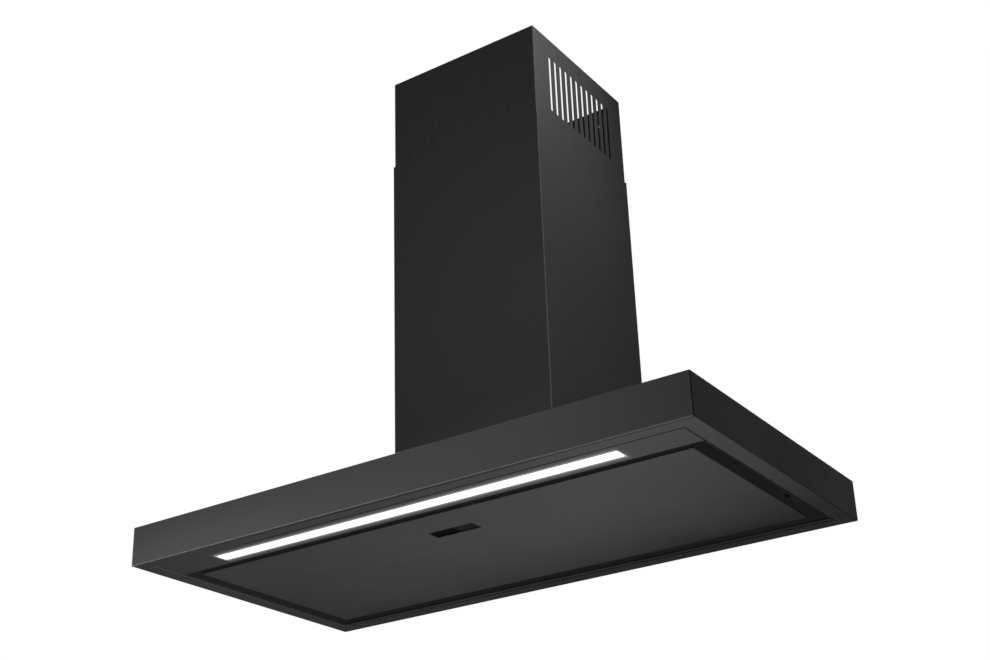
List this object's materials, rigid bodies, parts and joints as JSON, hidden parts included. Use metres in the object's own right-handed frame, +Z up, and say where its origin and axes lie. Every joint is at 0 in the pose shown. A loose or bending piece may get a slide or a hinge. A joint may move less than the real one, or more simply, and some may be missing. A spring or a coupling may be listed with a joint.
{
  "type": "chimney range hood",
  "caption": "Wall-mounted T-shaped chimney hood: flat box canopy with a light strip, hinged suction panel with an air gap round it, and a telescopic square chimney with vent slots.",
  "frame": {"origin": "wall plane, at the middle of the four holes of the two wall hooks, on the hood's centre line, 278 mm above the canopy's underside", "axes": "+X to the right seen from the front, +Y into the wall, +Z up"},
  "size_m": [0.9, 0.48, 0.806],
  "materials": {
    "black_paint": "fine-textured matt black powder coat",
    "liner_paint": "matt black powder coat",
    "galvanised": "zinc-coated sheet",
    "plated_screw": "zinc-plated",
    "bright_aluminium": "extruded, clear anodised",
    "filter_aluminium": "washed aluminium mesh",
    "opal": "opal light diffuser, lit",
    "white_board": "white solder mask",
    "light_chip": "phosphor",
    "black_glass": "polished black glass",
    "black_plastic": "fine texture",
    "grey_plastic": "fine texture",
    "white_plastic": "fine texture",
    "green_board": "green solder mask",
    "soft_rubber": "soft rubber",
    "magnet": "sintered",
    "motor_steel": "painted motor casing"
  },
  "bodies": {
    "hood": {"canopy_shell": "black_paint", "canopy_stiffener": "galvanised", "inner_liner": "liner_paint", "liner_standoffs": "plated_screw", "liner_screws": "plated_screw", "led_diffuser": "opal", "led_profile": "bright_aluminium", "led_board": "white_board", "led_chips": "light_chip", "led_end_caps": "grey_plastic", "profile_nuts": "plated_screw", "led_driver": "white_plastic", "power_module": "black_plastic", "control_housing": "black_plastic", "display_glass": "black_glass", "control_board": "green_board", "hinge_brackets": "galvanised", "hinge_pins": "plated_screw", "magnet_catches": "black_plastic", "catch_magnets": "magnet", "grease_filter_frame_left": "bright_aluminium", "grease_filter_mesh_left": "filter_aluminium", "filter_handle_left": "black_plastic", "grease_filter_frame_right": "bright_aluminium", "grease_filter_mesh_right": "filter_aluminium", "filter_handle_right": "black_plastic", "blower_box": "galvanised", "blower_screws": "plated_screw", "wall_hooks": "galvanised", "scroll_housing_right": "grey_plastic", "scroll_housing_left": "grey_plastic", "motor": "motor_steel", "motor_bracket": "galvanised", "motor_bushes": "soft_rubber", "capacitor": "white_plastic", "outlet_collar": "grey_plastic", "collar_screws": "plated_screw", "terminal_box": "grey_plastic", "terminal_lid": "grey_plastic", "terminal_block": "white_plastic", "cable_gland": "grey_plastic", "lower_chimney": "black_paint", "cover_screws": "plated_screw"},
    "panel": {"suction_panel": "black_paint", "panel_stiffeners": "galvanised", "hinge_arms": "galvanised", "striker_plates": "plated_screw"},
    "fan": {"impeller": "black_plastic", "impeller_hub": "galvanised", "motor_shaft": "plated_screw", "impeller_clip": "plated_screw"},
    "front_flap": {"damper_flap_front": "grey_plastic"},
    "rear_flap": {"damper_flap_rear": "grey_plastic"},
    "chimney_extension": {"upper_chimney": "black_paint", "upper_wall_bracket": "black_paint"},
    "left_latch": {"filter_latch_left": "black_plastic"},
    "right_latch": {"filter_latch_right": "black_plastic"}
  },
  "joints": [
    {"name": "panel_hinge", "type": "hinge", "parent": "hood", "child": "panel", "pos_m": [0, -0.062, -0.256], "axis": [1, 0, 0], "range_deg": [0, 85]},
    {"name": "impeller_spin", "type": "hinge", "parent": "hood", "child": "fan", "pos_m": [0, -0.104, -0.108], "axis": [1, 0, 0], "continuous": true},
    {"name": "front_flap_swing", "type": "hinge", "parent": "hood", "child": "front_flap", "pos_m": [0, -0.1642, 0.058], "axis": [-1, 0, 0], "range_deg": [0, 75]},
    {"name": "rear_flap_swing", "type": "hinge", "parent": "hood", "child": "rear_flap", "pos_m": [0, -0.1578, 0.058], "axis": [1, 0, 0], "range_deg": [0, 75]},
    {"name": "chimney_slide", "type": "slide", "parent": "hood", "child": "chimney_extension", "axis": [0, 0, 1], "range_m": [-0.15, 0.19]},
    {"name": "left_latch_slide", "type": "slide", "parent": "hood", "child": "left_latch", "axis": [0, 1, 0], "range_m": [0, 0.006], "stiffness_N_per_m": 500, "springref_m": -0.003},
    {"name": "right_latch_slide", "type": "slide", "parent": "hood", "child": "right_latch", "axis": [0, 1, 0], "range_m": [0, 0.006], "stiffness_N_per_m": 500, "springref_m": -0.003}
  ]
}
